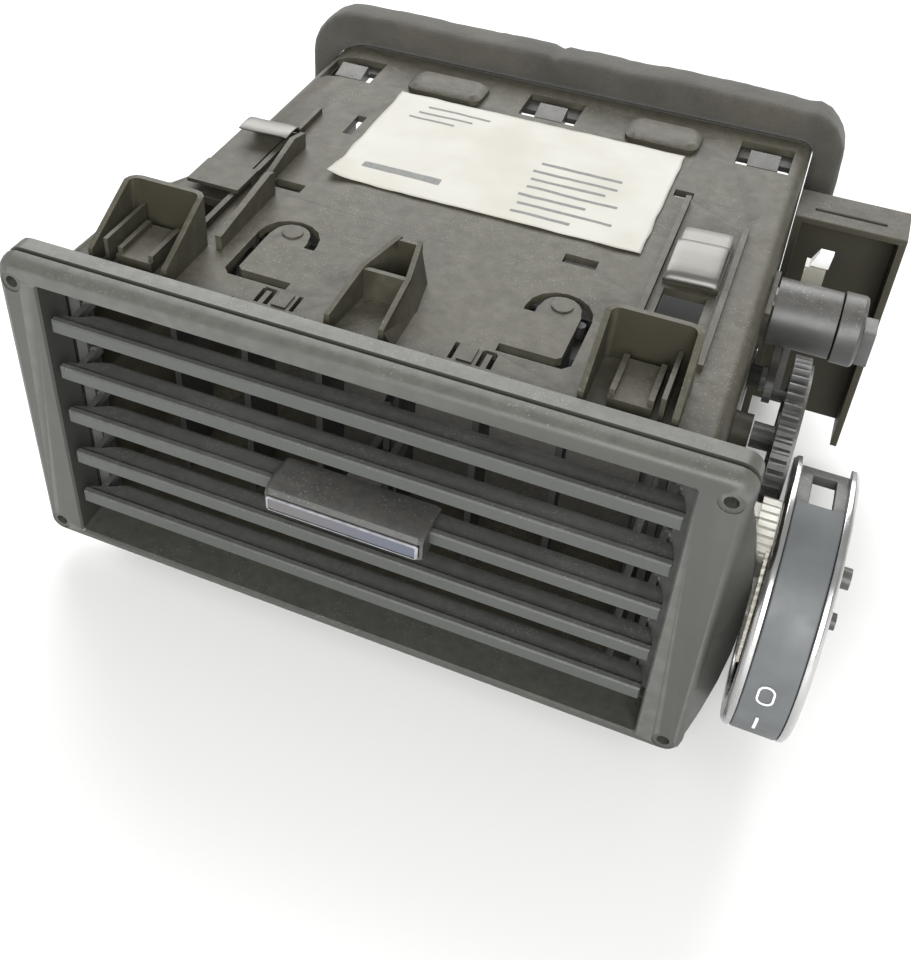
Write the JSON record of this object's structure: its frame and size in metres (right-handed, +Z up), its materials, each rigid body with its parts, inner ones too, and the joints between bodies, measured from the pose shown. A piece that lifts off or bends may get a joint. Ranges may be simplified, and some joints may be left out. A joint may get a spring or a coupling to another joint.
{
  "type": "dashboard air outlet",
  "caption": "Rectangular dashboard air outlet with tilting louvres, sliding knob, rear duct with foam seal and side thumbwheel driving a shut-off flap.",
  "frame": {"origin": "middle of the footprint, on the surface the outlet stands on", "axes": "+X to the right seen from the front, +Y into the dashboard along the air duct, +Z up"},
  "size_m": [0.1906, 0.1584, 0.104],
  "materials": {
    "bezel_plastic": "satin, fine grain",
    "vane_plastic": "satin, fine grain, dusty",
    "housing_plastic": "moulded, slightly dusty",
    "dark_plastic": "satin",
    "clear_plastic": "clear, ribbed",
    "white_plastic": "printed white",
    "foam": "closed-cell foam",
    "grip_rubber": "soft touch",
    "chrome": "bright",
    "spring_steel": "bright",
    "label_paper": "matt paper",
    "insert_plastic": "silvered"
  },
  "bodies": {
    "housing": {"housing_upper": "housing_plastic", "housing_lower": "housing_plastic", "front_bezel": "bezel_plastic", "vane_bearing_left": "dark_plastic", "vane_bearing_right": "dark_plastic", "rear_collar": "dark_plastic", "foam_seal": "foam", "spring_clip_left": "spring_steel", "spring_clip_right": "spring_steel", "label": "label_paper", "side_bracket": "housing_plastic", "lamp_holder": "dark_plastic", "lamp_cap": "dark_plastic", "lamp_plug": "dark_plastic", "light_pin": "clear_plastic", "light_pin_tip": "white_plastic", "light_guide": "clear_plastic", "gear_stub": "dark_plastic", "wheel_axle": "dark_plastic"},
    "vane_3": {"horizontal_vane_3": "vane_plastic"},
    "vane_1": {"horizontal_vane_1": "vane_plastic"},
    "vane_2": {"horizontal_vane_2": "vane_plastic"},
    "vane_4": {"horizontal_vane_4": "vane_plastic"},
    "vane_5": {"horizontal_vane_5": "vane_plastic"},
    "tilt_link": {"vane_link": "dark_plastic"},
    "knob": {"slider_knob": "dark_plastic", "knob_insert": "insert_plastic"},
    "swing_link": {"vertical_vane_link": "dark_plastic"},
    "thumbwheel": {"thumbwheel_drum": "dark_plastic", "thumbwheel_gear": "clear_plastic", "thumbwheel_plate": "dark_plastic", "grip_band": "grip_rubber", "chrome_ring_left": "chrome", "chrome_ring_right": "chrome", "mark_shut": "white_plastic", "mark_open": "white_plastic"},
    "gear": {"drive_gear": "dark_plastic"},
    "rod": {"flap_rod": "dark_plastic"},
    "flap": {"shutoff_flap": "dark_plastic", "flap_seal_front": "foam", "flap_seal_rear": "foam", "flap_lever": "dark_plastic"},
    "upright_1": {"vertical_vane_1": "vane_plastic"},
    "upright_2": {"vertical_vane_2": "vane_plastic"},
    "upright_3": {"vertical_vane_3": "vane_plastic"},
    "upright_4": {"vertical_vane_4": "vane_plastic"},
    "upright_5": {"vertical_vane_5": "vane_plastic"},
    "upright_6": {"vertical_vane_6": "vane_plastic"},
    "upright_7": {"vertical_vane_7": "vane_plastic"}
  },
  "joints": [
    {"name": "vane_tilt", "type": "hinge", "parent": "housing", "child": "vane_3", "pos_m": [-0.01115, -0.06078, 0.05], "axis": [1, 0, 0], "range_deg": [-25, 25]},
    {"name": "vane_1_tilt", "type": "hinge", "parent": "housing", "child": "vane_1", "pos_m": [-0.01115, -0.06078, 0.0777], "axis": [1, 0, 0], "range_deg": [-25, 25]},
    {"name": "vane_2_tilt", "type": "hinge", "parent": "housing", "child": "vane_2", "pos_m": [-0.01115, -0.06078, 0.06385], "axis": [1, 0, 0], "range_deg": [-25, 25]},
    {"name": "vane_4_tilt", "type": "hinge", "parent": "housing", "child": "vane_4", "pos_m": [-0.01115, -0.06078, 0.03615], "axis": [1, 0, 0], "range_deg": [-25, 25]},
    {"name": "vane_5_tilt", "type": "hinge", "parent": "housing", "child": "vane_5", "pos_m": [-0.01115, -0.06078, 0.0223], "axis": [1, 0, 0], "range_deg": [-25, 25]},
    {"name": "tilt_link_pivot", "type": "hinge", "parent": "vane_3", "child": "tilt_link", "pos_m": [0.05485, -0.05557, 0.05], "axis": [1, 0, 0], "range_deg": [-25, 25]},
    {"name": "knob_slide", "type": "slide", "parent": "vane_3", "child": "knob", "axis": [1, 0, 0], "range_m": [-0.012, 0.008]},
    {"name": "upright_1_swing", "type": "hinge", "parent": "housing", "child": "upright_1", "pos_m": [-0.07115, -0.03438, 0.05], "axis": [0, 0, 1], "range_deg": [-45.25, 30.17]},
    {"name": "upright_2_swing", "type": "hinge", "parent": "housing", "child": "upright_2", "pos_m": [-0.05115, -0.03438, 0.05], "axis": [0, 0, 1], "range_deg": [-45.25, 30.17]},
    {"name": "upright_3_swing", "type": "hinge", "parent": "housing", "child": "upright_3", "pos_m": [-0.03115, -0.03438, 0.05], "axis": [0, 0, 1], "range_deg": [-45.25, 30.17]},
    {"name": "upright_4_swing", "type": "hinge", "parent": "housing", "child": "upright_4", "pos_m": [-0.01115, -0.03438, 0.05], "axis": [0, 0, 1], "range_deg": [-45.25, 30.17]},
    {"name": "upright_5_swing", "type": "hinge", "parent": "housing", "child": "upright_5", "pos_m": [0.00885, -0.03438, 0.05], "axis": [0, 0, 1], "range_deg": [-45.25, 30.17]},
    {"name": "upright_6_swing", "type": "hinge", "parent": "housing", "child": "upright_6", "pos_m": [0.02885, -0.03438, 0.05], "axis": [0, 0, 1], "range_deg": [-45.25, 30.17]},
    {"name": "upright_7_swing", "type": "hinge", "parent": "housing", "child": "upright_7", "pos_m": [0.04885, -0.03438, 0.05], "axis": [0, 0, 1], "range_deg": [-45.25, 30.17]},
    {"name": "swing_link_pivot", "type": "hinge", "parent": "upright_4", "child": "swing_link", "pos_m": [-0.01207, -0.02744, 0.0828], "axis": [0, 0, 1], "range_deg": [-30.17, 45.25]},
    {"name": "wheel_turn", "type": "hinge", "parent": "housing", "child": "thumbwheel", "pos_m": [0.08685, -0.04797, 0.0445], "axis": [1, 0, 0], "range_deg": [-116, 0]},
    {"name": "gear_turn", "type": "hinge", "parent": "housing", "child": "gear", "pos_m": [0.07585, -0.02709, 0.06714], "axis": [1, 0, 0], "range_deg": [0, 70.1]},
    {"name": "rod_pivot", "type": "hinge", "parent": "gear", "child": "rod", "pos_m": [0.07015, -0.0172, 0.07196], "axis": [1, 0, 0], "range_deg": [-70.1, 0]},
    {"name": "flap_turn", "type": "hinge", "parent": "housing", "child": "flap", "pos_m": [-0.01115, 0.01463, 0.05], "axis": [1, 0, 0], "range_deg": [0, 70.1]}
  ],
  "couplings": [
    {"joint": "vane_1_tilt", "follows": "vane_tilt", "ratio": 1},
    {"joint": "vane_2_tilt", "follows": "vane_tilt", "ratio": 1},
    {"joint": "vane_4_tilt", "follows": "vane_tilt", "ratio": 1},
    {"joint": "vane_5_tilt", "follows": "vane_tilt", "ratio": 1},
    {"joint": "tilt_link_pivot", "follows": "vane_tilt", "ratio": -1},
    {"joint": "upright_1_swing", "follows": "knob_slide", "rad_per_m": 65.789},
    {"joint": "upright_2_swing", "follows": "knob_slide", "rad_per_m": 65.789},
    {"joint": "upright_3_swing", "follows": "knob_slide", "rad_per_m": 65.789},
    {"joint": "upright_4_swing", "follows": "knob_slide", "rad_per_m": 65.789},
    {"joint": "upright_5_swing", "follows": "knob_slide", "rad_per_m": 65.789},
    {"joint": "upright_6_swing", "follows": "knob_slide", "rad_per_m": 65.789},
    {"joint": "upright_7_swing", "follows": "knob_slide", "rad_per_m": 65.789},
    {"joint": "swing_link_pivot", "follows": "knob_slide", "rad_per_m": -65.789},
    {"joint": "gear_turn", "follows": "wheel_turn", "ratio": -0.60417},
    {"joint": "rod_pivot", "follows": "wheel_turn", "ratio": 0.60417},
    {"joint": "flap_turn", "follows": "wheel_turn", "ratio": -0.60417}
  ]
}
